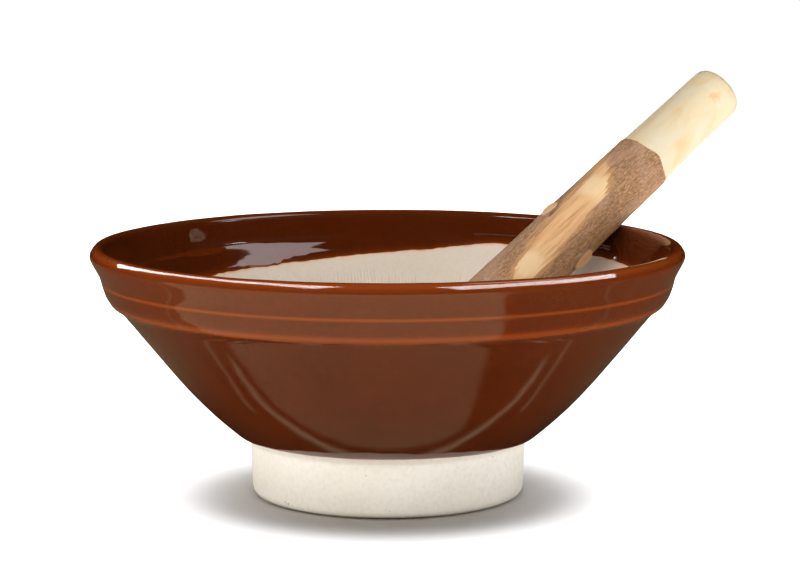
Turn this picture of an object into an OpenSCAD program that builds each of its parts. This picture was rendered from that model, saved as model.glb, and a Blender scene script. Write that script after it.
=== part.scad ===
// Grinding mortar of brown-glazed stoneware with a pale foot, and a branch-wood pestle that leans in it.
// Millimetres. The origin lies on the mortar's axis, on the surface that its foot ring stands on. +Z is up.

/* [Mortar] */
// Radius of the rim, to the middle of its rounded lip
lip_r = 150.3; // [149:0.1:153]
// Height of the middle of the rounded lip
lip_z = 127; // [125:0.5:130]
// Radius of the clay lip's rounding
lip_round = 3.9; // [3:0.1:4.5]
// Thickness of the glaze, slightly heavier than the real coat
glaze_t = 0.8; // [0.5:0.1:1.2]
// Height of the glaze's lower edge on the outside
glaze_edge_z = 32.8; // [31:0.1:38]
// Outer radius of the foot ring where it stands
foot_r = 71.2; // [69:0.1:72]
// Rounding of the foot ring's outer bottom edge
foot_round = 3.6; // [2:0.1:5]
// Inner radius of the foot ring where it stands
foot_inner_r = 58; // [50:1:62]
// Height of the hollow inside the foot ring
foot_hollow_h = 8; // [3:0.5:9]

/* [Inside of the mortar] */
// Radius of curvature of the bowl's floor
floor_r = 100; // [96:1:103]
// Height of the lowest point of the floor
floor_z = 17; // [15:0.5:19]
// Height of the glaze's inner edge, on the axis
inner_edge_z = 104; // [98:1:108]
// Tilt of the glaze's inner edge from level, in degrees
inner_edge_tilt = 3.2; // [0:0.1:4]
// Heading of the high side of the glaze's inner edge, in degrees from +X
inner_edge_heading = 41; // [0:1:359]

/* [Pestle] */
// Length of the pestle
pestle_len = 306.5; // [270:0.5:320]
// Radius of the wood at the grinding end
tip_r = 17.8; // [16:0.1:19]
// Radius of the wood at the handle end
handle_r = 14.9; // [13:0.1:16]
// Rounding of the handle end's edge
handle_round = 4; // [2:0.5:6]
// Length of the peeled handle
handle_len = 66.5; // [40:0.5:80]
// Length that is peeled at the grinding end
peeled_tip_len = 42; // [25:1:60]
// Thickness of each of the two layers of bark
bark_t = 0.6; // [0.4:0.1:0.8]
// Lean of the pestle above level, in degrees
lean = 35.7; // [34:0.1:38]
// Heading of the pestle's upper end, in degrees from +X
heading = 31.9; // [0:0.1:90]
// Gap between the resting pestle and the mortar
rest_gap = 0.35; // [0.3:0.05:0.6]

/* [Branch stubs] */
// Radius of a cut side branch
stub_r = 4.6; // [3.5:0.1:5.5]
// Angle between a side branch and the pestle's axis, in degrees
stub_angle = 42; // [35:1:60]
// Height of a stub's cut face above the bark
stub_proud = 1.6; // [1:0.1:2.5]
// Depth of a stub's root below the wood's surface
stub_root = 7; // [4:0.5:9]

/* [Hidden] */
$fn = 96;
lip_c = [lip_r, lip_z];
floor_c = [0, floor_z + floor_r];

// Outer wall: a straight flare above, and one long arc that rounds it in to the foot
wall_arc_c = [-65.6, 211.2];
wall_arc_r = 229.2;
wall_top = [138.2, 98.4];
// The wall runs down to this height, inside the foot
wall_low = 24;
// Collar, from the wall's top up to the groove under the lip
collar = [[140.6, 100.6], [143.8, 102.6], [145.3, 104.8], [146.7, 107.5], [148.7, 113.8], [148, 115.1],
          [148.7, 116.5]];
// Waist between the glazed wall and the foot ring's straight side; it starts inside the wall
waist = [[73.6, 31], [72.8, 28], [72.3, 26], [72, 23]];
// Knee where the inside turns from the cone up to the lip
inner_knee = [143.2, 116];
// Level widths of a skin of thickness 1 where it lies on the slanted knee and on the wall's top
knee_spread = 1.2;
wall_spread = 1.3;

// Pestle in the upright plane that holds the mortar's axis: distances are [from the axis, height]
lean_dir = [cos(lean), sin(lean)];
lean_up = [-sin(lean), cos(lean)];
taper = atan((tip_r - handle_r) / pestle_len);
bark_end = pestle_len - handle_len;
lip_reach = (lip_round + glaze_t + rest_gap) / cos(taper);
// Side branches: station along the pestle from its tip, angle round it from its underside, share of full size
stubs = [[169.5, -56.5, 1], [175.5, 179, 0.8]];
// Flats whittled in a row in the outer bark: the first and last as [station, angle round the pestle]
scrape_ends = [[200, -158], [148, -124]];
scrapes = 3;
scrape_len = 34;

// Point where a line from p touches a circle of radius r about c, on the side given as 1 or -1
function tangent(p, c, r, side) =
    let (away = p - c, turn = atan2(away.y, away.x) + side * acos(r / norm(away)))
    c + r * [cos(turn), sin(turn)];

// Where the inside meets the rounded lip, under a skin of thickness t
function knee_in(t) = inner_knee - [knee_spread * t, 0];
function lip_inside(t) = tangent(knee_in(t), lip_c, lip_round + t, -1);

function wood_r(station) = tip_r + (handle_r - tip_r) * station / pestle_len;
function bark_r(station) = wood_r(station) + 2 * bark_t;
tip_round = wood_r(tip_r);

// The pestle's axis passes over the lip at this point when the bark there has the radius of that station
function over_lip(station) = lip_c + lean_up * (bark_r(station) + lip_reach);
// Distance from a point on the axis down to the middle of the rounded tip, resting on the floor
function down_to_floor(p) =
    let (from_c = p - floor_c, along = from_c * lean_dir, reach = floor_r - tip_round - rest_gap)
    -along - sqrt(along * along - from_c * from_c + reach * reach);
function tip_under(p) = p + lean_dir * (down_to_floor(p) - tip_round);
// Station of the pestle that lies over the lip: a first guess, corrected this many times
lip_passes = 8;
function lip_station(passes) =
    passes == 0 ? bark_end : (lip_c - tip_under(over_lip(lip_station(passes - 1)))) * lean_dir;
tip = tip_under(over_lip(lip_station(lip_passes)));

// Outline of the mortar above the height low, with its hollow filled in and a skin of thickness t over it
module filled_outline(t, low) {
    wall_top_t = wall_top + [wall_spread * t, 0];
    wall_foot_t = tangent(wall_top_t, wall_arc_c, wall_arc_r + t, -1);
    collar_t = [for (p = collar) p + [t, 0]];
    lip_foot = tangent(collar_t[len(collar) - 1], lip_c, lip_round + t, 1);
    translate(lip_c) circle(lip_round + t);
    polygon(concat([[0, wall_foot_t.y], wall_foot_t, wall_top_t], collar_t,
                   [lip_foot, lip_c, lip_inside(t), [0, inner_knee.y]]));
    intersection() {
        translate(wall_arc_c) circle(wall_arc_r + t, $fn = 360);
        translate([0, low]) square([wall_foot_t.x, wall_foot_t.y - low]);
    }
}

// Outline of the bowl's hollow, drawn in by a skin of thickness t
module hollow_outline(t) {
    floor_rim = tangent(knee_in(t), floor_c, floor_r - t, -1);
    polygon([[0, floor_rim.y], floor_rim, knee_in(t), lip_inside(t), [0, lip_z]]);
    intersection() {
        translate(floor_c) circle(floor_r - t, $fn = 180);
        square([floor_rim.x, floor_rim.y]);
    }
}

module foot_outline() {
    difference() {
        polygon(concat([[0, waist[0].y]], waist, [[foot_r, foot_round], [foot_r, 0], [0, 0]]));
        difference() {
            translate([foot_r - foot_round, 0]) square(foot_round);
            translate([foot_r - foot_round, foot_round]) circle(foot_round);
        }
    }
}

module foot_hollow_outline() {
    bevel = 2;
    crown = 0.5;
    below = 1;
    polygon([[0, -below], [foot_inner_r, -below], [foot_inner_r, 0],
             [foot_inner_r - bevel, foot_hollow_h - bevel], [foot_inner_r - 2 * bevel, foot_hollow_h],
             [0, foot_hollow_h + crown]]);
}

module mortar_body() {
    color([0.88, 0.85, 0.79])
    difference() {
        union() {
            rotate_extrude() filled_outline(0, wall_low);
            rotate_extrude() foot_outline();
        }
        rotate_extrude() hollow_outline(0);
        rotate_extrude() foot_hollow_outline();
    }
}

// Brown glaze: a skin over the outside and the lip, and down the inside to a slanted edge
module glaze_coat() {
    spare = 0.3;
    reach = 1.5 * lip_r;
    color([0.32, 0.13, 0.06])
    difference() {
        rotate_extrude()
        difference() {
            filled_outline(glaze_t, glaze_edge_z);
            hollow_outline(glaze_t);
            difference() {
                filled_outline(0, wall_low);
                hollow_outline(0);
            }
        }
        intersection() {
            rotate_extrude() hollow_outline(-spare);
            rotate([0, 0, inner_edge_heading])
            translate([0, 0, inner_edge_z])
            rotate([0, -inner_edge_tilt, 0])
            translate([-reach, -reach, -lip_z])
            cube([2 * reach, 2 * reach, lip_z]);
        }
    }
}

// Puts a piece made along +Z, from the grinding tip at the origin, into the leaning pestle's place
module in_place() {
    rotate([0, 0, heading])
    translate([tip.x, 0, tip.y])
    rotate([0, 90 - lean, 0])
    children();
}

// One side branch: a slanted peg from its root in the wood out to the cut face
module side_branch(station, angle, share) {
    face_r = bark_r(station) + stub_proud * share;
    peg_len = 3 * tip_r;
    rotate([0, 0, angle])
    intersection() {
        translate([face_r, 0, station])
        rotate([0, 180 + stub_angle, 0])
        translate([0, 0, -peg_len / 2])
        cylinder(r = stub_r * share, h = peg_len);
        translate([wood_r(station) - stub_root, -tip_r, station - peg_len])
        cube([face_r - wood_r(station) + stub_root, 2 * tip_r, 2 * peg_len]);
    }
}

module side_branches() {
    for (stub = stubs) side_branch(stub[0], stub[1], stub[2]);
}

module pestle_wood() {
    color([0.95, 0.89, 0.74])
    in_place()
    difference() {
        rotate_extrude() {
            intersection() {
                translate([0, tip_round]) circle(tip_round);
                square([tip_r, tip_round]);
            }
            polygon([[0, tip_round], [tip_round, tip_round], [handle_r, pestle_len - handle_round],
                     [handle_r - handle_round, pestle_len], [0, pestle_len]]);
            translate([handle_r - handle_round, pestle_len - handle_round]) circle(handle_round);
        }
        side_branches();
    }
}

// One layer of bark, between two heights above the wood
module bark_layer(from, to) {
    a = peeled_tip_len;
    b = bark_end;
    difference() {
        rotate_extrude()
        polygon([[wood_r(a) + from, a], [wood_r(a) + to, a], [wood_r(b) + to, b], [wood_r(b) + from, b]]);
        side_branches();
    }
}

module inner_bark() {
    color([0.92, 0.73, 0.5])
    in_place()
    bark_layer(0, bark_t);
}

// Rough outer bark, whittled down to the inner bark along a slanting row of flats
module outer_bark() {
    step = (scrape_ends[1] - scrape_ends[0]) / (scrapes - 1);
    color([0.58, 0.43, 0.32])
    in_place()
    difference() {
        bark_layer(bark_t, 2 * bark_t);
        for (i = [0:scrapes - 1]) {
            flat = scrape_ends[0] + i * step;
            rotate([0, 0, flat[1]])
            translate([wood_r(flat[0]) + bark_t / 2, -tip_r, flat[0] - scrape_len / 2])
            cube([tip_r, 2 * tip_r, scrape_len]);
        }
    }
}

// Cut side branches, grown into the wood through both layers of bark
module branch_stubs() {
    color([0.85, 0.74, 0.56])
    in_place()
    side_branches();
}

mortar_body();
glaze_coat();
pestle_wood();
inner_bark();
outer_bark();
branch_stubs();
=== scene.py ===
import math

import bpy
import numpy as np
from mathutils import Matrix, Vector


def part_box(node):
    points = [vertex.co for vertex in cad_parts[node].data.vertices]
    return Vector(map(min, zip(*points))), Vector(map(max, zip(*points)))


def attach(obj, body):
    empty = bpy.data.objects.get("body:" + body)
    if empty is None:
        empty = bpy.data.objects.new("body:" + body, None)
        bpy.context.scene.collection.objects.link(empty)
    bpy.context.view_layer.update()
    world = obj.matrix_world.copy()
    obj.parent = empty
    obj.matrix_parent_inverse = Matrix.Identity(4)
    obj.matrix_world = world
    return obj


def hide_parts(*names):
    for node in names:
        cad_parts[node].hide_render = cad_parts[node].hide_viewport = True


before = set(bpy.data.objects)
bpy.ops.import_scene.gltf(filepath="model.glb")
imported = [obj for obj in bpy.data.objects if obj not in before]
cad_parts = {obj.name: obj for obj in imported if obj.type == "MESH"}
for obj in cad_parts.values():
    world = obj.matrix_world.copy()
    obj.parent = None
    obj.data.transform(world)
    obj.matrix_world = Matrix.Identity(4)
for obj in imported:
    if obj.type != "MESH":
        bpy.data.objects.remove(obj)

# A stoneware grinding mortar, glazed brown down to a pale foot, with a pestle cut from a branch
# leaning in it. Shapes are worked out in millimetres, as in the CAD, and turned into metres when a
# mesh is made.

MM = 0.001
TURN = 2 * math.pi
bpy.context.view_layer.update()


# ---------------------------------------------------------------- small tools

def srgb(r, g, b):
    """A display colour, each part from 0 to 255, as the linear colour that shaders take."""
    def linear(v):
        v /= 255
        return v / 12.92 if v <= 0.04045 else ((v + 0.055) / 1.055) ** 2.4
    return (linear(r), linear(g), linear(b), 1.0)


def smooth_step(x, low, high):
    t = np.clip((x - low) / (high - low), 0, 1)
    return t * t * (3 - 2 * t)


def bell(x, middle, width):
    return np.exp(-((x - middle) / width) ** 2)


def degrees_from(angle, middle):
    """The shorter way round from middle to angle, from -180 to 180 degrees."""
    return (angle - middle + 180) % 360 - 180


def turn_bell(angle, middle, width):
    """A bell curve on a circle, with every angle in degrees."""
    return np.exp(-(degrees_from(angle, middle) / width) ** 2)


NOISE_ROWS = 97       # value_noise repeats after this many units of v


def value_noise(u, v, seed, wrap):
    """Smooth values from -1 to 1 with features one unit wide, repeating after wrap units of u."""
    lattice = np.random.default_rng(seed).uniform(-1, 1, (wrap, NOISE_ROWS))
    iu, iv = np.floor(u).astype(int), np.floor(v).astype(int)
    fu, fv = u - iu, v - iv
    fu, fv = fu * fu * (3 - 2 * fu), fv * fv * (3 - 2 * fv)
    def corner(du, dv):
        return lattice[(iu + du) % wrap, (iv + dv) % NOISE_ROWS]
    low = corner(0, 0) * (1 - fu) + corner(1, 0) * fu
    high = corner(0, 1) * (1 - fu) + corner(1, 1) * fu
    return low * (1 - fv) + high * fv


def angles(count):
    return np.arange(count) * TURN / count


def stitch(first, count, next_first, next_count):
    """Faces between two rings of vertices, where one has as many as the other or twice as many."""
    faces = []
    if count == next_count:
        i = np.arange(count)
        j = (i + 1) % count
        return np.stack([first + i, next_first + i, next_first + j, first + j], 1).tolist()
    if count > next_count:
        for i in range(next_count):
            a, b, c = first + 2 * i, first + 2 * i + 1, first + (2 * i + 2) % count
            d, e = next_first + i, next_first + (i + 1) % next_count
            faces += [(a, d, b), (b, d, e), (b, e, c)]
        return faces
    for i in range(count):
        a, b = next_first + 2 * i, next_first + 2 * i + 1
        c = next_first + (2 * i + 2) % next_count
        d, e = first + i, first + (i + 1) % count
        faces += [(d, a, b), (d, b, e), (e, b, c)]
    return faces


def keep_values(mesh, name, values):
    """Keep a number or a vector for each vertex, under a name that materials can read."""
    kind, key = ("FLOAT_VECTOR", "vector") if values.ndim == 2 else ("FLOAT", "value")
    data = mesh.attributes.new(name, kind, "POINT").data
    data.foreach_set(key, values.astype(np.float32).ravel())


def new_object(name, data):
    thing = bpy.data.objects.new(name, data)
    bpy.context.scene.collection.objects.link(thing)
    return thing


def mesh_of_rings(name, rings, facts=None, loop=False, place=None):
    """A closed mesh through rings of points. Its ends are closed by a point each, or joined when it
    is a loop. facts gives each named vertex value, one array for each ring. place moves the mesh,
    whose own points are then kept as the vertex value "grain" for its material."""
    counts = [len(ring) for ring in rings]
    starts = np.concatenate([[0], np.cumsum(counts)]).tolist()
    faces = []
    for k in range(len(rings) - 1):
        faces += stitch(starts[k], counts[k], starts[k + 1], counts[k + 1])
    points = np.concatenate(rings)
    if loop:
        faces += stitch(starts[-2], counts[-1], 0, counts[0])
    else:
        points = np.concatenate([points, [rings[0].mean(0), rings[-1].mean(0)]])
        for i in range(counts[0]):
            faces.append((starts[-1], i, (i + 1) % counts[0]))
        for i in range(counts[-1]):
            faces.append((starts[-1] + 1, starts[-2] + (i + 1) % counts[-1], starts[-2] + i))
    points = points * MM
    mesh = bpy.data.meshes.new(name)
    mesh.from_pydata(points.tolist(), [], faces)
    if place is not None:
        keep_values(mesh, "grain", points)
        mesh.transform(place)
    for fact, values in (facts or {}).items():
        flat = np.concatenate([np.broadcast_to(v, c) for v, c in zip(values, counts)])
        if not loop:
            flat = np.concatenate([flat, [flat[0], flat[-1]]])
        keep_values(mesh, fact, flat)
    mesh.shade_smooth()
    return new_object(name, mesh)


def finish_piece(piece, material, body, slot, *nodes):
    piece.data.materials.append(material)
    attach(piece, body)
    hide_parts(*nodes)


# ---------------------------------------------------------------- outline of the mortar

LIP_C = np.array([150.3, 127.0])
LIP_R = 3.9
FLOOR_C = np.array([0.0, 117.0])
FLOOR_R = 100.0
KNEE = np.array([143.2, 116.0])
WALL_C = np.array([-65.6, 211.2])
WALL_R = 229.2
LIP_FLAT = math.radians(57.4)      # heading of the lip's flattened shoulder, from straight up
LIP_FLAT_R = 3.5
COLLAR = np.array([[149.1, 116.6], [148.2, 115.2], [149.0, 113.9], [147.8, 111.0], [146.6, 107.2],
                   [145.1, 104.7], [143.9, 102.7], [140.5, 100.6], [138.2, 98.4]])
WAIST = np.array([[73.0, 28.7], [72.6, 27.8], [72.3, 26.0], [72.0, 23.0]])
FOOT_R = 71.2
FOOT_ROUND = 3.6
FOOT_INNER_R = 58.0
HOLLOW_H = 8.0
GLAZE_T = 0.8
SKIN_ROOT = -0.3      # the glaze's hidden underside lies this far inside the clay
OUTLINE_STEP = 0.25


def tangent(p, c, r, side):
    """Point where a line from p touches a circle of radius r about c, on the side given as 1 or -1."""
    away = p - c
    turn = math.atan2(away[1], away[0]) + side * math.acos(r / np.hypot(*away))
    return c + r * np.array([math.cos(turn), math.sin(turn)])


def arc(c, r, start, end, count):
    a = np.linspace(start, end, count)
    return c + r * np.stack([np.cos(a), np.sin(a)], 1)


def heading_of(p, c):
    return math.atan2(p[1] - c[1], p[0] - c[0])


def smoothed(points, spread):
    reach = int(4 * spread / OUTLINE_STEP) + 1
    x = np.arange(-reach, reach + 1) * OUTLINE_STEP
    kernel = np.exp(-0.5 * (x / spread) ** 2)
    kernel /= kernel.sum()
    padded = np.pad(points, ((reach, reach), (0, 0)), mode="edge")
    return np.stack([np.convolve(padded[:, k], kernel, mode="valid") for k in range(2)], 1)


def clay_outline():
    """The clay's half outline as [radius, height], from the floor's middle over the lip to under
    the foot."""
    floor_rim = tangent(KNEE, FLOOR_C, FLOOR_R, -1)
    lip_in = tangent(KNEE, LIP_C, LIP_R, -1)
    lip_out = tangent(COLLAR[0], LIP_C, LIP_R, 1)
    lip = arc(LIP_C, LIP_R, heading_of(lip_in, LIP_C) % TURN, heading_of(lip_out, LIP_C), 80)
    # the lip's outer shoulder is pressed flat
    from_top = np.arctan2(lip[:, 0] - LIP_C[0], lip[:, 1] - LIP_C[1])
    flat = LIP_FLAT_R / np.cos(np.clip(from_top - LIP_FLAT, -1.2, 1.2))
    lip = LIP_C + (lip - LIP_C) * (np.minimum(LIP_R, flat) / LIP_R)[:, None]
    wall_foot = tangent(COLLAR[-1], WALL_C, WALL_R, -1)
    wall_end = math.asin((WAIST[0][1] - WALL_C[1]) / WALL_R)
    foot_corner = np.array([FOOT_R - FOOT_ROUND, FOOT_ROUND])
    corners = np.concatenate([
        arc(FLOOR_C, FLOOR_R, -math.pi / 2, heading_of(floor_rim, FLOOR_C), 80),
        [KNEE], lip, COLLAR,
        arc(WALL_C, WALL_R, heading_of(wall_foot, WALL_C), wall_end, 50),
        WAIST[1:],
        arc(foot_corner, FOOT_ROUND, 0, -math.pi / 2, 10),
        [[FOOT_INNER_R, 0], [FOOT_INNER_R - 2, HOLLOW_H - 2], [FOOT_INNER_R - 4, HOLLOW_H],
         [0, HOLLOW_H]],
    ])
    lengths = np.concatenate([[0], np.cumsum(np.hypot(*np.diff(corners, axis=0).T))])
    s = np.arange(0, lengths[-1], OUTLINE_STEP)
    fine = np.stack([np.interp(s, lengths, corners[:, k]) for k in range(2)], 1)
    # the bowl's inner knee is rounder than the other corners
    near_knee = (bell(fine[:, 1], KNEE[1], 9) * (fine[:, 0] < LIP_C[0]))[:, None]
    return smoothed(fine, 0.5) * (1 - near_knee) + smoothed(fine, 2.6) * near_knee


OUTLINE = clay_outline()
STATION = np.concatenate([[0], np.cumsum(np.hypot(*np.diff(OUTLINE, axis=0).T))])
ALONG = np.gradient(OUTLINE, STATION, axis=0)
NORMAL = smoothed(np.stack([-ALONG[:, 1], ALONG[:, 0]], 1), 0.4)
NORMAL /= np.hypot(*NORMAL.T)[:, None]
LIP_TOP = int(np.argmax(OUTLINE[:, 1]))
FOOT_END = int(np.argmax((OUTLINE[:, 1] < 0.01) & (np.arange(len(OUTLINE)) > LIP_TOP)))


def inside_station(height):
    return np.interp(height, OUTLINE[:LIP_TOP, 1], STATION[:LIP_TOP])


def outside_station(height):
    heights, stations = OUTLINE[LIP_TOP:FOOT_END, 1], STATION[LIP_TOP:FOOT_END]
    return np.interp(-np.asarray(height), -heights, stations)


def outline_at(s, lift=0.0):
    """Radius and height at station s, raised by lift along the surface's normal."""
    return [np.interp(s, STATION, OUTLINE[:, k]) + lift * np.interp(s, STATION, NORMAL[:, k])
            for k in (0, 1)]


def revolve(s, theta, lift=0.0):
    r, z = outline_at(s, lift)
    r, z = np.broadcast_to(r, theta.shape), np.broadcast_to(z, theta.shape)
    return np.stack([r * np.cos(theta), r * np.sin(theta), z], 1)


def glaze_inner_edge(theta):
    """Height of the glaze's slanted and slightly ragged edge on the inside."""
    deg = np.degrees(theta) % 360
    height = 104 + 7.4 * np.cos(np.radians(deg - 41))
    for rise, middle, width in ((4.2, 62, 16), (2.0, 30, 14), (-1.2, 117, 20),
                                (1.1, 215, 25), (-1.4, 265, 22), (0.9, 318, 18)):
        height += rise * turn_bell(deg, middle, width)
    height += 0.35 * value_noise(deg / 5, deg * 0, 11, 72)
    return height + 0.22 * value_noise(deg / 1.5, deg * 0, 12, 240)


def glaze_outer_edge(theta):
    """Height of the glaze's lower edge above the foot."""
    deg = np.degrees(theta) % 360
    height = 32.6 - 0.6 * np.cos(np.radians(deg + 25))
    height += 0.3 * value_noise(deg / 24, deg * 0, 13, 15)
    return height + 0.1 * value_noise(deg / 4, deg * 0, 14, 90)


# ---------------------------------------------------------------- clay, with its combed inside

TEETH = 12
STROKES = 33
TOOTH_PITCH = 1.89
COMB_W = TEETH * TOOTH_PITCH
COMB_DEPTH = 0.4
FINE = 1584           # vertices round the combed wall: four to a groove
COMB_TOP = 104.0
COMB_END = 99.5       # mean height where the strokes end
CENTRE_R = 13.0
CLAY_DIP = 0.12       # the combed wall lies this far inside the CAD's, to keep unevenness in it
# heights of the mesh's rows down the foot, close together where the glaze ends
FOOT_ROWS = np.array([34.2, 33.6, 33, 32.4, 31.8, 31, 30.2, 29.4, 28.8, 28.2, 27.4, 26.4, 25, 22,
                      18, 14, 10, 7, 4.6])


def combing(r, theta, z):
    """How deep the combed grooves are, from 0 to 1. Strokes fan out from the middle, and each cuts
    off the last."""
    rng = np.random.default_rng(5)
    stroke_end = rng.uniform(-1, 1, STROKES)
    tooth_end = rng.uniform(-1, 1, (STROKES, TEETH + 1))
    stroke_force = rng.uniform(0.85, 1, STROKES)
    half = COMB_W / 2
    step = TURN / STROKES
    swing = np.arcsin(np.minimum(1, half / np.maximum(r, 1e-6)))
    stroke = np.floor((theta + swing) / step).astype(int)
    across = r * np.sin(theta - stroke * step) + half
    tooth = np.clip(np.floor(across / TOOTH_PITCH), 0, TEETH).astype(int)
    groove = (0.5 - 0.5 * np.cos(TURN * across / TOOTH_PITCH)) ** 1.3
    stroke %= STROKES
    end = COMB_END + 2.4 * stroke_end[stroke] + 2.2 * tooth_end[stroke, tooth]
    groove = groove * smooth_step(end - z, 0, 4) * stroke_force[stroke]
    middle = (0.5 - 0.5 * np.cos(TURN * r * np.sin(theta - 0.6) / TOOTH_PITCH)) ** 1.3
    return np.where(r < CENTRE_R, middle, groove)


def glaze_distance(s, theta):
    """Distance along the clay from the glaze's nearer edge; negative under the glaze."""
    inner = inside_station(glaze_inner_edge(theta)) - s
    outer = s - outside_station(glaze_outer_edge(theta))
    return np.maximum(inner, outer)


def clay_body():
    comb_top = inside_station(COMB_TOP)
    half_way = np.interp(75, OUTLINE[:LIP_TOP, 0], STATION[:LIP_TOP])
    lip_start = inside_station(118.5)
    foot_start = outside_station(34.8)
    foot_sides = outside_station(FOOT_ROWS)
    bottom = STATION[FOOT_END]
    rows = [(s, FINE // 2) for s in np.arange(3, half_way, 2.6)]
    rows += [(s, FINE) for s in np.arange(half_way + 2.4, comb_top, 2.9)]
    rows += [(s, FINE // 2) for s in np.arange(comb_top + 1, lip_start, 1.7)]
    for part in (np.linspace(lip_start + 1, foot_start, 14), foot_sides,
                 np.linspace(foot_sides[-1] + 1, bottom, 8),
                 np.linspace(bottom + 1.5, STATION[-1] - 50, 14),
                 np.linspace(STATION[-1] - 40, STATION[-1] - 5, 5)):
        rows += [(s, FINE // 4) for s in part]
    rings, comb, distance, inside = [], [], [], []
    for s, count in rows:
        theta = angles(count)
        r, z = outline_at(s)
        if s < comb_top:
            depth = combing(np.full(count, r), theta, z)
            uneven = CLAY_DIP * value_noise(theta / TURN * 40, np.full(count, s / 14), 21, 40)
            lift = -COMB_DEPTH * depth - CLAY_DIP + uneven
        else:
            depth = np.zeros(count)
            on_foot = (s > foot_start) * smooth_step(z, 0.3, 3)
            lift = 0.08 * value_noise(theta / TURN * 24, np.full(count, s / 6), 22, 24) * on_foot
        rings.append(revolve(s, theta, lift))
        comb.append(depth)
        distance.append(np.clip(glaze_distance(s, theta), -5, 30))
        inside.append(s < lip_start)
    return mesh_of_rings("clay_body", rings, {"comb": comb, "edge": distance, "inside": inside})


GLAZE_COLUMNS = 720
EDGE_BAND = 6.5       # the glaze thickens to its whole height over this distance from its inner edge
# distance from the glaze's edge and height above the clay, at the inner edge and at the lower one
INNER_RIM = [(-0.2, SKIN_ROOT), (0, 0), (0.3, 0.12), (0.9, 0.24), (1.8, 0.38), (3, 0.54), (4.6, 0.7),
             (EDGE_BAND, GLAZE_T)]
LOW_RIM = [(2.4, GLAZE_T), (1.2, 0.74), (0.5, 0.55), (0.15, 0.3), (0, 0), (-0.2, SKIN_ROOT)]


def glaze_skin():
    theta = angles(GLAZE_COLUMNS)
    start = inside_station(glaze_inner_edge(theta))
    end = outside_station(glaze_outer_edge(theta))
    lip_start = inside_station(119.0)
    notch = outside_station(115.2)
    collar_end = outside_station(97.0)
    wall_end = outside_station(36.8)
    rows = [(start + d, t) for d, t in INNER_RIM]
    rows += [(start + EDGE_BAND + (lip_start - start - EDGE_BAND) * f, GLAZE_T)
             for f in np.linspace(0.15, 1, 9)]
    rows += [(s, GLAZE_T) for s in np.arange(lip_start + 1, notch - 3, 0.85)]
    rows += [(s, GLAZE_T) for s in np.arange(notch - 3, collar_end, 0.6)]
    rows += [(s, GLAZE_T) for s in np.linspace(collar_end + 1, wall_end, 22)]
    rows += [(end - d, t) for d, t in LOW_RIM]
    rows += [(s, SKIN_ROOT) for s in np.linspace(wall_end - 3, collar_end, 5)]
    rows += [(s, SKIN_ROOT) for s in np.linspace(collar_end - 2, lip_start, 10)]
    rings, thin_glaze_and_painted_light = [], []
    for s, lift in rows:
        s = np.broadcast_to(s, theta.shape)
        flow = 0.10 * value_noise(theta / TURN * 26, s / 22, 31, 26)
        flow = flow + 0.05 * value_noise(theta / TURN * 90, s / 7, 32, 90)
        rings.append(revolve(s, theta, lift + flow * (lift > 0.7)))
        # the glaze is paler where it runs thinner: on the lip and at both of its edges; on the
        # collar's ribs the pale lines are partly thinner glaze and partly a painted highlight, and a
        # little painted light makes the inside and the collar's top paler
        z = outline_at(s)[1]
        outside = s > STATION[LIP_TOP]
        thinness_and_painted_light = 0.75 * bell(s, STATION[LIP_TOP] + 1.5, 3.2)
        # the collar's ribs: thinner glaze there, and a painted highlight along each rib
        thinness_and_painted_light = thinness_and_painted_light + outside * (0.5 * bell(z, 113.9, 0.7) + 0.45 * bell(z, 103.6, 1.6))
        thinness_and_painted_light = thinness_and_painted_light + 0.6 * np.exp(-np.maximum(s - start, 0) / 1.3)
        thinness_and_painted_light = thinness_and_painted_light + 0.5 * np.exp(-np.maximum(end - s, 0))
        # painted light: the whole inside, and the outside above the collar's corner, are made a little
        # paler
        thinness_and_painted_light = thinness_and_painted_light + 0.08 * np.where(outside, smooth_step(z, 102, 105), 1)
        thin_glaze_and_painted_light.append(np.clip(thinness_and_painted_light, 0, 1))
    return mesh_of_rings("brown_glaze_skin", rings, {"thin_glaze_and_painted_light": thin_glaze_and_painted_light}, loop=True)


# ---------------------------------------------------------------- pestle

PESTLE_LEN = 306.5
TIP_R = 17.8
HANDLE_R = 14.9
HANDLE_ROUND = 4.6
HANDLE_DOME = 1.4     # rise of the handle's end face in its middle
WOOD_COLUMNS = 128
BARK_FROM = 42.0
BARK_TO = 240.0
BARK_T = 0.6          # each of the two layers
STRIP_R = 17.0        # radius to the scraped strip, for distances round the pestle
LEAN = math.radians(35.7)
HEADING = math.radians(31.9)
STUB_R = 4.6
STUB_ANGLE = math.radians(42)
STUB_PROUD = 1.6
# station, angle round the pestle in degrees, and share of the full size
STUBS = {"cut_branch_front": (169.5, -56.5, 1.0), "cut_branch_back": (175.5, 179.0, 0.8)}


def wood_r(station):
    return TIP_R + (HANDLE_R - TIP_R) * station / PESTLE_LEN


TIP_ROUND = wood_r(TIP_R)


def pestle_place():
    """Matrix from the pestle's own frame, with the grinding tip at the origin and +Z along it, to
    the shared frame."""
    sin_lean, cos_lean = math.sin(LEAN), math.cos(LEAN)
    sin_heading, cos_heading = math.sin(HEADING), math.cos(HEADING)
    under = Vector((sin_lean * cos_heading, sin_lean * sin_heading, -cos_lean))
    side = Vector((-sin_heading, cos_heading, 0))
    axis = Vector((cos_lean * cos_heading, cos_lean * sin_heading, sin_lean))
    # the round tip touches all three low sides of the wood's box
    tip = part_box("pestle_wood")[0] + Vector((1, 1, 1)) * TIP_ROUND * MM - axis * TIP_ROUND * MM
    place = Matrix.Identity(4)
    for k, column in enumerate((under, side, axis, tip)):
        for row in range(3):
            place[row][k] = column[row]
    return place


def around(station, radius, phi):
    station, radius = np.broadcast_to(station, phi.shape), np.broadcast_to(radius, phi.shape)
    return np.stack([radius * np.cos(phi), radius * np.sin(phi), station], 1)


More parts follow.
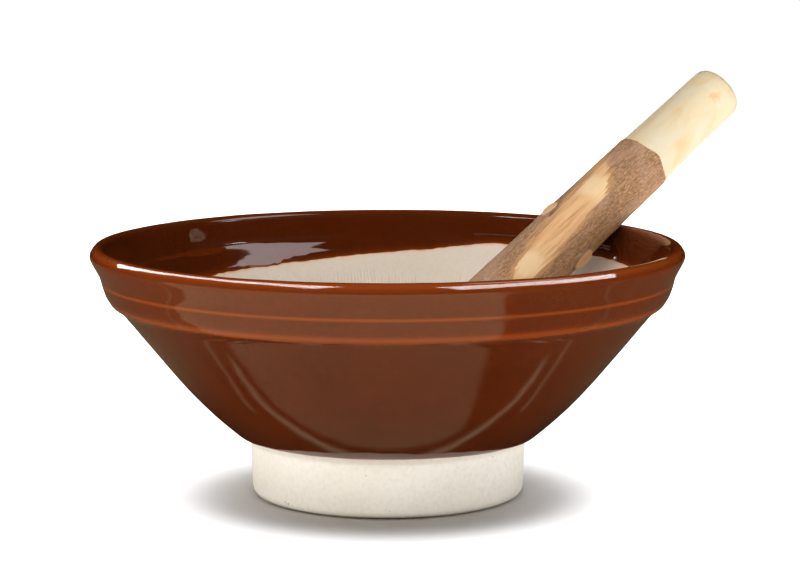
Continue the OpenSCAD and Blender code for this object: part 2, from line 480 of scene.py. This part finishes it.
def branch_swelling(station, phi):
    """Rise of the bark round the cut side branches."""
    rise = 0
    for at, angle, share in STUBS.values():
        across = np.radians(degrees_from(np.degrees(phi), angle)) * TIP_R
        rise = rise + 0.9 * share * np.exp(-(across / 7.5) ** 2 - ((station - at + 2) / 11) ** 2)
    return rise


def bark_end(phi):
    """Station of the knife cut where the bark stops below the handle."""
    deg = np.degrees(phi)
    return (BARK_TO + 1.9 * turn_bell(deg, -107, 20) + 1.0 * turn_bell(deg, -40, 22)
            + 1.4 * turn_bell(deg, 70, 35))


def bark_start(phi):
    deg = np.degrees(phi)
    return BARK_FROM + 1.6 * turn_bell(deg, -150, 30) - 1.2 * turn_bell(deg, 20, 40)


def scraped(station, phi):
    """How far the outer bark is whittled away, from 0 to 1: one long slanting strip with frayed
    sides."""
    station = np.broadcast_to(station, phi.shape)
    middle = np.interp(station, [130, 150, 170, 190, 204, 216, 226],
                       [-117, -126, -136, -144, -152, -172, -188])
    half = np.interp(station, [122, 132, 150, 200, 214, 228], [2, 6.5, 8.6, 8.8, 6, 1])
    away = np.radians(np.abs(degrees_from(np.degrees(phi), middle))) * STRIP_R
    fray = 1.7 * value_noise(phi / TURN * 96, station / 34, 41, 96)
    fray = fray + 0.9 * value_noise(phi / TURN * 220, station / 12, 42, 220)
    inside = 1 - smooth_step(away + fray, half - 4.5, half + 4.5)
    frayed = station + 1.5 * fray
    return inside * smooth_step(frayed, 114, 134) * (1 - smooth_step(frayed, 214, 232))


def pestle_wood_piece():
    phi = -angles(WOOD_COLUMNS)
    round_rows = TIP_ROUND * (1 - np.cos(np.radians(np.arange(4, 91, 6))))
    rows = [(s, math.sqrt(max(0, TIP_ROUND ** 2 - (TIP_ROUND - s) ** 2))) for s in round_rows]
    rows += [(s, wood_r(s))
             for s in np.linspace(TIP_ROUND + 2, PESTLE_LEN - HANDLE_ROUND - 1.5, 110)]
    for a in np.radians(np.arange(0, 91, 11.25)):
        rows.append((PESTLE_LEN - HANDLE_ROUND - HANDLE_DOME + HANDLE_ROUND * math.sin(a),
                     HANDLE_R - HANDLE_ROUND * (1 - math.cos(a))))
    for f in (0.8, 0.6, 0.4, 0.2, 0.08):
        rows.append((PESTLE_LEN - HANDLE_DOME * f * f, (HANDLE_R - HANDLE_ROUND) * f))
    rings = []
    for s, r in rows:
        swell = 0.75 * math.exp(-abs(s - BARK_TO) / 14) + 0.7 * math.exp(-abs(s - BARK_FROM) / 10)
        whittled = 0.16 * value_noise(phi / TURN * 11, np.full(WOOD_COLUMNS, s / 24), 51, 11)
        oval = 1 + 0.004 * np.cos(2 * phi)
        rings.append(around(s, r * oval + (swell + whittled) * min(1, r / 12), phi))
    return mesh_of_rings("peeled_wood_core", rings, place=PLACE)


def bark_tube(name, rows, count, top_of, root):
    """A closed tube of bark. rows are shares of the way along it. top_of gives the height of its
    outside above the wood, and root that of its hidden inside."""
    phi = -angles(count)
    start, end = bark_start(phi), bark_end(phi)
    rings, strip = [], []
    for f in rows:
        s = start + (end - start) * f
        rings.append(around(s, wood_r(s) + top_of(s, phi, start, end), phi))
        strip.append(scraped(s, phi))
    for f in np.linspace(1, 0, 24):
        s = start + (end - start) * f
        rings.append(around(s, wood_r(s) + root, phi))
        strip.append(np.zeros(count))
    return mesh_of_rings(name, rings, {"scraped": strip}, loop=True, place=PLACE)


def inner_bark_top(s, phi, start, end):
    fibre = 0.05 * value_noise(phi / TURN * 130, s / 11, 61, 130)
    fibre = fibre + 0.04 * value_noise(phi / TURN * 40, s / 30, 62, 40)
    taper = smooth_step(np.minimum(s - start, end - s), -0.2, 2.0)
    return 0.1 + (BARK_T - 0.1 + fibre + 0.6 * branch_swelling(s, phi)) * taper


def outer_bark_top(s, phi, start, end):
    fibre = 0.09 * value_noise(phi / TURN * 64, s / 13, 63, 64)
    fibre = fibre + 0.10 * value_noise(phi / TURN * 160, s / 4.5, 64, 160)
    warts = 0.12 * value_noise(phi / TURN * 90, s / 2.2, 65, 90)
    whole = 2 * BARK_T - 0.1 + fibre + warts + branch_swelling(s, phi)
    strip = scraped(s, phi)
    split = bell(np.degrees(phi) % 360 - 360, -155 + 0.5 * (150 - s), 2.0) * bell(s, 150, 6)
    top = whole * (1 - strip) + (BARK_T - 0.25) * strip - 0.5 * split
    taper = smooth_step(np.minimum(s - start, end - s), -0.3, 1.8)
    return 0.3 + (top - 0.3) * taper


def cut_branch(name, at, angle, share):
    """A side branch cut off flat just above the bark, seen as a pale oval."""
    count = 48
    a = -angles(count)
    face = wood_r(at) + 2 * BARK_T + STUB_PROUD * share
    out = np.array([math.sin(STUB_ANGLE), 0, math.cos(STUB_ANGLE)])
    cross = np.array([math.cos(STUB_ANGLE), 0, -math.sin(STUB_ANGLE)])
    side = np.array([0, 1.0, 0])
    centre = np.array([face, 0, at])
    rim = centre + STUB_R * share * (np.cos(a)[:, None] * cross + np.sin(a)[:, None] * side)
    to_face = (face - rim[:, 0]) / out[0]
    rim = rim + to_face[:, None] * out
    uneven = 1 + 0.05 * np.cos(3 * a + at) + 0.03 * np.cos(5 * a)
    middle = rim.mean(0)
    rings, cut = [], []
    for depth, swell in ((9.0, 0.9), (6.0, 1.0), (4.0, 1.12), (2.8, 1.16), (1.8, 1.12), (1.0, 1.06),
                         (0.45, 1.03), (0.12, 1.0)):
        ring = middle + (rim - middle) * (uneven * swell)[:, None] - depth / out[0] * out
        rings.append(ring)
        cut.append(np.zeros(count))
    for reach, sink in ((0.965, 0), (0.93, -0.02), (0.85, -0.12), (0.7, -0.2), (0.5, -0.16),
                        (0.3, -0.1), (0.12, -0.05)):
        ring = middle + (rim - middle) * (uneven * reach)[:, None]
        ring[:, 0] += sink + 0.06 * value_noise(a / TURN * 12, np.full(count, reach * 9), 71, 12)
        rings.append(ring)
        cut.append(np.ones(count))
    turn = math.radians(angle)
    spin = np.array([[math.cos(turn), -math.sin(turn), 0], [math.sin(turn), math.cos(turn), 0],
                     [0, 0, 1]])
    return mesh_of_rings(name, [ring @ spin.T for ring in rings], {"cut": cut}, place=PLACE)


# ---------------------------------------------------------------- materials

class Paint:
    """A node material under construction."""

    def __init__(self, name, along_pestle=False):
        self.material = bpy.data.materials.new(name)
        self.material.use_nodes = True
        self.tree = self.material.node_tree
        self.shader = self.tree.nodes["Principled BSDF"]
        if along_pestle:
            self.place = self.add("ShaderNodeAttribute", attribute_name="grain").outputs["Vector"]
        else:
            self.place = self.add("ShaderNodeTexCoord").outputs["Object"]

    def add(self, kind, inputs=None, **settings):
        node = self.tree.nodes.new(kind)
        for key, value in settings.items():
            setattr(node, key, value)
        for key, value in (inputs or {}).items():
            self.put(node.inputs[key], value)
        return node

    def put(self, socket, value):
        if isinstance(value, bpy.types.NodeSocket):
            self.tree.links.new(value, socket)
        else:
            socket.default_value = value

    def set(self, **values):
        for key, value in values.items():
            self.put(self.shader.inputs[key.replace("_", " ")], value)

    def fact(self, name):
        return self.add("ShaderNodeAttribute", attribute_name=name).outputs["Fac"]

    def stretched(self, x, y, z):
        inputs = {"Vector": self.place, "Scale": (x, y, z)}
        return self.add("ShaderNodeMapping", inputs).outputs["Vector"]

    def noise(self, scale, detail=3.0, roughness=0.55, where=None, distortion=0.0):
        inputs = {"Vector": where or self.place, "Scale": scale, "Detail": detail,
                  "Roughness": roughness, "Distortion": distortion}
        return self.add("ShaderNodeTexNoise", inputs).outputs["Fac"]

    def math(self, operation, a, b):
        return self.add("ShaderNodeMath", {0: a, 1: b}, operation=operation).outputs[0]

    def level(self, value, low, high, out_low=0.0, out_high=1.0):
        """value's smooth step between low and high, spread over out_low to out_high."""
        inputs = {"Value": value, "From Min": low, "From Max": high,
                  "To Min": out_low, "To Max": out_high}
        node = self.add("ShaderNodeMapRange", inputs, interpolation_type="SMOOTHSTEP")
        return node.outputs["Result"]

    def blend(self, share, a, b):
        # inputs 6 and 7 and output 2 are the node's colours
        return self.add("ShaderNodeMix", {0: share, 6: a, 7: b}, data_type="RGBA").outputs[2]

    def distance_to(self, point):
        inputs = {0: self.place, 1: point}
        return self.add("ShaderNodeVectorMath", inputs, operation="DISTANCE").outputs["Value"]

    def ramp(self, value, *stops):
        node = self.add("ShaderNodeValToRGB", {"Fac": value})
        ramp = node.color_ramp
        while len(ramp.elements) < len(stops):
            ramp.elements.new(0.5)
        for element, (position, colour) in zip(ramp.elements, stops):
            element.position, element.color = position, colour
        return node.outputs["Color"]

    def specks(self, scale, size, share):
        """1 in small round specks, one in each cell of that scale for the given share of the cells."""
        cells = self.add("ShaderNodeTexVoronoi", {"Vector": self.place, "Scale": scale})
        near = self.level(cells.outputs["Distance"], size * 0.6, size, 1, 0)
        parts = self.add("ShaderNodeSeparateColor", {"Color": cells.outputs["Color"]})
        return self.math("MULTIPLY", near, self.math("LESS_THAN", parts.outputs[0], share))

    def bump(self, height, distance, strength=1.0, under=None):
        inputs = {"Height": height, "Distance": distance, "Strength": strength}
        node = self.add("ShaderNodeBump", inputs)
        if under is not None:
            self.put(node.inputs["Normal"], under)
        return node.outputs["Normal"]


def glaze_material():
    p = Paint("brown_glaze")
    pool = p.noise(26, 4)
    colour = p.ramp(pool, (0.3, srgb(65, 23, 5)), (0.55, srgb(70, 26, 6)), (0.8, srgb(75, 29, 8)))
    colour = p.blend(p.level(p.noise(300, 2), 0.35, 0.75, 0, 0.12), colour, srgb(104, 44, 18))
    # paler where the glaze runs thinner, with painted highlights on the collar's ribs and painted
    # light over the inside
    colour = p.blend(p.fact("thin_glaze_and_painted_light"), colour, srgb(150, 66, 22))
    pinholes = p.specks(55, 0.028, 0.12)
    colour = p.blend(pinholes, colour, srgb(150, 92, 55))
    p.set(Base_Color=colour, IOR=1.7)
    p.set(Roughness=p.level(p.noise(60, 3), 0.3, 0.7, 0.04, 0.07))
    p.set(Normal=p.bump(p.noise(70, 2), 0.0004, 0.06))
    return p.material


def clay_material():
    p = Paint("stoneware_clay")
    colour = p.ramp(p.noise(22, 4), (0.3, srgb(232, 223, 208)), (0.5, srgb(236, 229, 216)),
                    (0.72, srgb(240, 234, 223)))
    colour = p.blend(p.math("MULTIPLY", p.fact("inside"), 0.7), colour, srgb(230, 211, 190))
    colour = p.blend(p.level(p.noise(420, 3), 0.4, 0.75, 0, 0.3), colour, srgb(216, 202, 180))
    for specks, strength, shade in ((p.specks(170, 0.09, 0.14), 0.7, srgb(138, 108, 78)),
                                    (p.specks(95, 0.06, 0.2), 0.8, srgb(156, 124, 88)),
                                    (p.specks(420, 0.12, 0.10), 0.5, srgb(168, 142, 108))):
        colour = p.blend(p.math("MULTIPLY", specks, strength), colour, shade)
    # painted shade: the combed grooves are darkened in proportion to their depth
    colour = p.blend(p.math("MULTIPLY", p.fact("comb"), 0.12), colour, srgb(172, 158, 134))
    edge = p.math("ADD", p.fact("edge"), p.level(p.noise(260, 3), 0.3, 0.7, -0.5, 0.5))
    colour = p.blend(p.level(edge, 0.4, 3.4, 0.35, 0), colour, srgb(236, 186, 138))
    colour = p.blend(p.level(edge, 0.1, 1.1, 0.6, 0), colour, srgb(222, 156, 104))
    p.set(Base_Color=colour, Roughness=p.level(p.noise(180, 3), 0.3, 0.7, 0.62, 0.85), IOR=1.45)
    p.set(Specular_IOR_Level=0.3)
    grain = p.bump(p.noise(1500, 3), 0.00008, 0.5)
    p.set(Normal=p.bump(p.noise(240, 3), 0.0003, 0.3, grain))
    return p.material


def wood_material():
    p = Paint("peeled_wood", along_pestle=True)
    streak = p.noise(1, 4, where=p.stretched(300, 300, 26))
    patch = p.noise(1, 3, where=p.stretched(80, 80, 50), distortion=0.6)
    colour = p.ramp(patch, (0.34, srgb(220, 207, 177)), (0.52, srgb(220, 202, 164)),
                    (0.7, srgb(220, 191, 143)))
    colour = p.blend(p.level(streak, 0.4, 0.7, 0, 0.2), colour, srgb(236, 204, 150))
    spot = p.math("ADD", p.distance_to(SPOT), p.level(p.noise(500, 2), 0.3, 0.7, -0.0012, 0.0012))
    colour = p.blend(p.level(spot, 0.0005, 0.0046, 0.55, 0), colour, srgb(222, 158, 92))
    p.set(Base_Color=colour, Roughness=p.level(streak, 0.3, 0.7, 0.42, 0.58))
    p.set(Normal=p.bump(streak, 0.0002, 0.3))
    return p.material


def inner_bark_material():
    p = Paint("inner_bark", along_pestle=True)
    streak = p.noise(1, 5, 0.65, where=p.stretched(640, 640, 40))
    wide = p.noise(1, 3, where=p.stretched(150, 150, 26))
    colour = p.ramp(streak, (0.3, srgb(190, 128, 74)), (0.44, srgb(216, 160, 104)),
                    (0.58, srgb(230, 182, 126)), (0.72, srgb(242, 208, 158)))
    colour = p.blend(p.level(wide, 0.42, 0.64, 0, 0.5), colour, srgb(238, 200, 146))
    near_side = p.math("ADD", p.fact("scraped"), p.level(streak, 0.3, 0.7, 0.22, -0.22))
    colour = p.blend(p.level(near_side, 0.5, 0.95, 0.75, 0), colour, srgb(186, 132, 84))
    for centre, size in PALE_PATCHES:
        away = p.math("ADD", p.distance_to(centre), p.level(streak, 0.3, 0.7, -0.003, 0.003))
        colour = p.blend(p.level(away, size * 0.4, size, 0.75, 0), colour, srgb(242, 210, 160))
    p.set(Base_Color=colour, Roughness=0.62)
    p.set(Normal=p.bump(streak, 0.0004, 0.6))
    return p.material


def outer_bark_material():
    p = Paint("outer_bark", along_pestle=True)
    fleck = p.noise(1, 6, 0.75, where=p.stretched(1250, 1250, 400))
    fibre = p.noise(1, 4, 0.6, where=p.stretched(420, 420, 46))
    colour = p.ramp(fleck, (0.34, srgb(100, 69, 44)), (0.44, srgb(148, 108, 74)),
                    (0.54, srgb(172, 131, 94)), (0.66, srgb(208, 170, 126)))
    colour = p.blend(p.level(fibre, 0.5, 0.34, 0, 0.5), colour, srgb(138, 100, 68))
    patch = p.noise(1, 3, where=p.stretched(70, 70, 34))
    colour = p.blend(p.level(patch, 0.48, 0.66, 0, 0.45), colour, srgb(186, 146, 120))
    colour = p.blend(p.level(patch, 0.46, 0.32, 0, 0.4), colour, srgb(150, 108, 66))
    near_strip = p.math("ADD", p.fact("scraped"), p.level(fibre, 0.3, 0.7, -0.2, 0.2))
    colour = p.blend(p.level(near_strip, 0.05, 0.5, 0, 0.7), colour, srgb(206, 152, 98))
    p.set(Base_Color=colour, Roughness=0.72, Specular_IOR_Level=0.3)
    rough = p.bump(fleck, 0.0003, 0.4)
    p.set(Normal=p.bump(fibre, 0.0004, 0.3, rough))
    return p.material


def cut_branch_material():
    p = Paint("cut_branch", along_pestle=True)
    streak = p.noise(1, 4, where=p.stretched(500, 500, 120))
    face = p.ramp(streak, (0.3, srgb(202, 152, 104)), (0.55, srgb(220, 174, 124)),
                  (0.75, srgb(232, 194, 146)))
    side = p.ramp(streak, (0.3, srgb(112, 78, 52)), (0.7, srgb(176, 134, 94)))
    p.set(Base_Color=p.blend(p.fact("cut"), side, face), Roughness=0.66)
    p.set(Normal=p.bump(streak, 0.0003, 0.5))
    return p.material


def on_pestle(station, degrees, lift=0.0):
    """Point on the pestle's surface in its own frame, in metres."""
    r, turn = (wood_r(station) + lift) * MM, math.radians(degrees)
    return (r * math.cos(turn), r * math.sin(turn), station * MM)


SPOT = on_pestle(292, -114)      # a knot-coloured spot near the handle's end
# centre and size in metres of the paler places in the scraped strip
PALE_PATCHES = [(on_pestle(201, -150, BARK_T), 0.011), (on_pestle(141, -121, BARK_T), 0.010)]


# ---------------------------------------------------------------- the object

finish_piece(clay_body(), clay_material(), "mortar", "stoneware", "mortar_body")
finish_piece(glaze_skin(), glaze_material(), "mortar", "brown_glaze", "glaze_coat")

PLACE = pestle_place()
wood = pestle_wood_piece()
inner = bark_tube("inner_bark_layer", np.linspace(0, 1, 150), 160, inner_bark_top, -0.4)
outer_rows = np.concatenate([[0, 0.003, 0.006, 0.01], np.linspace(0.015, 0.985, 216),
                             [0.99, 0.994, 0.997, 1]])
outer = bark_tube("outer_bark_layer", outer_rows, 256, outer_bark_top, 0.1)
for piece, material, slot, node in ((wood, wood_material(), "peeled_wood", "pestle_wood"),
                                    (inner, inner_bark_material(), "inner_bark", "inner_bark"),
                                    (outer, outer_bark_material(), "outer_bark", "outer_bark")):
    finish_piece(piece, material, "pestle", slot, node)
branch_paint = cut_branch_material()
for name, (at, angle, share) in STUBS.items():
    stub = cut_branch(name, at, angle, share)
    finish_piece(stub, branch_paint, "pestle", "cut_branch", "branch_stubs")


# ---------------------------------------------------------------- studio

def sheet_mesh(name, points, faces):
    mesh = bpy.data.meshes.new(name)
    mesh.from_pydata(points, [], faces)
    mesh.shade_smooth()
    sheet = new_object(name, mesh)
    return sheet


def only_mirrored(thing):
    """Leave a thing to be seen in glossy reflections alone."""
    thing.visible_camera = thing.visible_diffuse = False
    thing.visible_shadow = thing.visible_transmission = False


def flag():
    """A black card and its two wings over the bowl, seen only in reflections: they keep the boxes
    off its inner back."""
    y, low, high, left, right = 0.05, 0.17, 0.62, -0.17, 0.30
    wing_high, wing_back = 0.45, 0.3
    points = [(left, y, low), (right, y, low), (right, y, high), (left, y, high)]
    for x in (left, right):
        points += [(x, y, low), (x, wing_back, low), (x, wing_back, wing_high), (x, y, wing_high)]
    card = sheet_mesh("flag", points, [(0, 1, 2, 3), (4, 5, 6, 7), (8, 9, 10, 11)])
    only_mirrored(card)
    p = Paint("flag_black")
    p.set(Base_Color=(0, 0, 0, 1), Roughness=1.0, Specular_IOR_Level=0.0)
    card.data.materials.append(p.material)


def backdrop():
    """One pale sheet to stand on; the air beyond it is as white as it is."""
    half = 2.2
    corners = [(-half, -half, 0), (half, -half, 0), (half, half, 0), (-half, half, 0)]
    sheet = sheet_mesh("studio_sheet", corners, [(0, 1, 2, 3)])
    sheet.visible_glossy = False
    p = Paint("studio_paper")
    p.set(Base_Color=(0.88, 0.88, 0.885, 1), Roughness=0.9, Specular_IOR_Level=0.1)
    sheet.data.materials.append(p.material)
    return sheet


def table_glow(x, y):
    """Brightness of the table top as the glaze mirrors it, with x and y in millimetres: lit in front
    up to a slanted edge, duller elsewhere, with two brighter lines across it under the bowl."""
    shade_side = x - 46 - (-65 - y) * 0.77
    front = 1 - smooth_step(y, -78, -70)
    away = np.hypot(x, y)
    lit = (0.26 + 0.36 * smooth_step(away, 120, 220)) * front * (1 - smooth_step(shade_side, -4, 4))
    left = 0.12 * (1 - smooth_step(x, -190, -110)) * (1 - front)
    edge = 0.5 * bell(y, -63.5, 3) * (1 - smooth_step(np.abs(x), 125, 140))
    second = 0.25 * bell(y, -45, 3) * smooth_step(np.abs(x), 95, 105)
    far_right = 0.08 * smooth_step(x, 80, 200)
    return 0.02 + (lit + left) * smooth_step(away, 60, 80) + edge + second + far_right


def mirrored_table():
    """What the glaze mirrors of the table: a card seen only in reflections."""
    # lines of the card's grid in millimetres, closest where the glow has its narrow lines
    far = np.geomspace(220, 1600, 14)
    near = np.concatenate([np.arange(-216, -90, 4), np.arange(-90, -30, 1.5), np.arange(-30, 217, 4)])
    reach = np.concatenate([-far[::-1], near, far])
    n = len(reach)
    x, y = np.meshgrid(reach, reach)
    points = np.stack([x.ravel(), y.ravel(), 0 * x.ravel()], 1) * MM
    k = (np.arange(n - 1)[:, None] * n + np.arange(n - 1)).ravel()
    faces = np.stack([k, k + 1, k + n + 1, k + n], 1)
    card = sheet_mesh("mirrored_table", points.tolist(), faces.tolist())
    keep_values(card.data, "glow", table_glow(x.ravel(), y.ravel()))
    only_mirrored(card)
    p = Paint("mirrored_table")
    light = p.add("ShaderNodeEmission", {"Strength": p.fact("glow"), "Color": (1, 0.8, 0.5, 1)})
    p.put(p.tree.nodes["Material Output"].inputs["Surface"], light.outputs[0])
    card.data.materials.append(p.material)


MIRRORED_NEARER = 0.018      # metres, so that the two lamps of a box do not coincide


def softbox(name, place, aim, width, height, radiance, along=(1, 0, 0), mirrored=0, colour=(1, 1, 1)):
    """The one or two lamps of a rectangular light of that radiance, where white paper in full light
    is about 1. Its width runs along a line. Reflections show it by its mirrored radiance instead: a
    second lamp seen by glossy rays alone, a little nearer to the aim."""
    lamps = []
    back = (Vector(place) - Vector(aim)).normalized()
    side = (Vector(along) - back * back.dot(Vector(along))).normalized()
    up = back.cross(side)
    for strength, ending, nearer in ((radiance, "", 0), (mirrored, "_mirrored", MIRRORED_NEARER)):
        if not strength:
            continue
        light = bpy.data.lights.new(name + ending, "AREA")
        light.shape = "RECTANGLE"
        light.size, light.size_y = width, height
        light.energy = strength * math.pi * width * height
        light.color = colour
        lamp = new_object(name + ending, light)
        front = Vector(place) - back * nearer
        rows = [(side[k], up[k], back[k], front[k]) for k in range(3)]
        lamp.matrix_world = Matrix(rows + [(0, 0, 0, 1)])
        lamp.visible_glossy = bool(ending)
        lamp.visible_diffuse = lamp.visible_transmission = not ending
        lamps.append(lamp)
    return lamps


def shadow_disc():
    """An unseen disc low round the foot, the only thing that shades the sheet from its own light."""
    radius, height, count = 0.11, 0.028, 64
    rim = [(radius * math.cos(a), radius * math.sin(a) - 0.01, height) for a in angles(count)]
    disc = sheet_mesh("shadow_disc", rim, [tuple(range(count))])
    only_mirrored(disc)
    disc.visible_glossy = False
    disc.visible_shadow = True
    return disc


def link_group(name, things, state):
    """A light-linking collection that includes those things, or everything but them."""
    group = bpy.data.collections.new(name)
    for thing in things:
        group.objects.link(thing)
    for member in group.collection_objects:
        member.light_linking.link_state = state
    return group


def studio(sheet, disc):
    """Two long boxes above the bowl, one in front, a low fill on each side and a small box that only
    reflections show, all of which leave the sheet alone. A wide box lights only the sheet, and only
    the disc shades that. The air is white to the camera and to nothing else."""
    middle = (0, 0, 0.1)
    lamps = softbox("left_box", (-0.67, 0.075, 0.915), middle, 1.71, 0.34, 2.2,
                    along=(-0.9, 1.45, -0.11), mirrored=8.0)
    lamps += softbox("right_box", (0.69, -0.24, 0.875), middle, 1.14, 0.3, 2.0,
                     along=(0.66, 0.88, -0.31), mirrored=7.0)
    lamps += softbox("back_box", (0.385, 0.14, 0.9), middle, 0.34, 0.32, 0,
                     mirrored=2.6, colour=(1, 0.88, 0.88))
    lamps += softbox("front_box", (-0.7, -1.6, 1.2), middle, 2.0, 1.2, 2.9)
    lamps += softbox("left_fill", (-1.1, -0.5, 0.35), middle, 0.8, 0.5, 4.0)
    lamps += softbox("right_fill", (1.05, -0.6, 0.35), middle, 0.8, 0.5, 4.1)
    the_rest = link_group("all_but_sheet", (sheet, disc), "EXCLUDE")
    for lamp in lamps:
        lamp.light_linking.receiver_collection = the_rest
        lamp.light_linking.blocker_collection = the_rest
    sheet_lamp, = softbox("sheet_box", (0.0, 0.3, 1.6), (0, 0.3, 0), 6.0, 5.0, 3.2)
    linking = sheet_lamp.light_linking
    linking.receiver_collection = link_group("sheet_alone", [sheet], "INCLUDE")
    linking.blocker_collection = link_group("disc_alone", [disc], "INCLUDE")
    world = bpy.data.worlds.new("studio_air")
    bpy.context.scene.world = world
    world.use_nodes = True
    background = world.node_tree.nodes["Background"]
    background.inputs["Color"].default_value = (1, 1, 1, 1)
    background.inputs["Strength"].default_value = 1.02
    seen_by = world.cycles_visibility
    seen_by.glossy = seen_by.diffuse = seen_by.transmission = False
    bpy.context.scene.view_settings.view_transform = "Standard"


def camera():
    """The photograph's viewpoint: eight degrees above level, from the front, through a long lens."""
    lens = bpy.data.cameras.new("front_camera")
    lens.lens, lens.sensor_width, lens.sensor_fit = 122.2, 36.0, "HORIZONTAL"
    eye = new_object("front_camera", lens)
    eye.location = (0.0, -1.4077, 0.3115)
    aim = Vector((0.0064, 0.0, 0.1085))
    eye.rotation_euler = (aim - eye.location).to_track_quat("-Z", "Y").to_euler()
    bpy.context.scene.camera = eye


sheet = backdrop()
mirrored_table()
flag()
studio(sheet, shadow_disc())
camera()
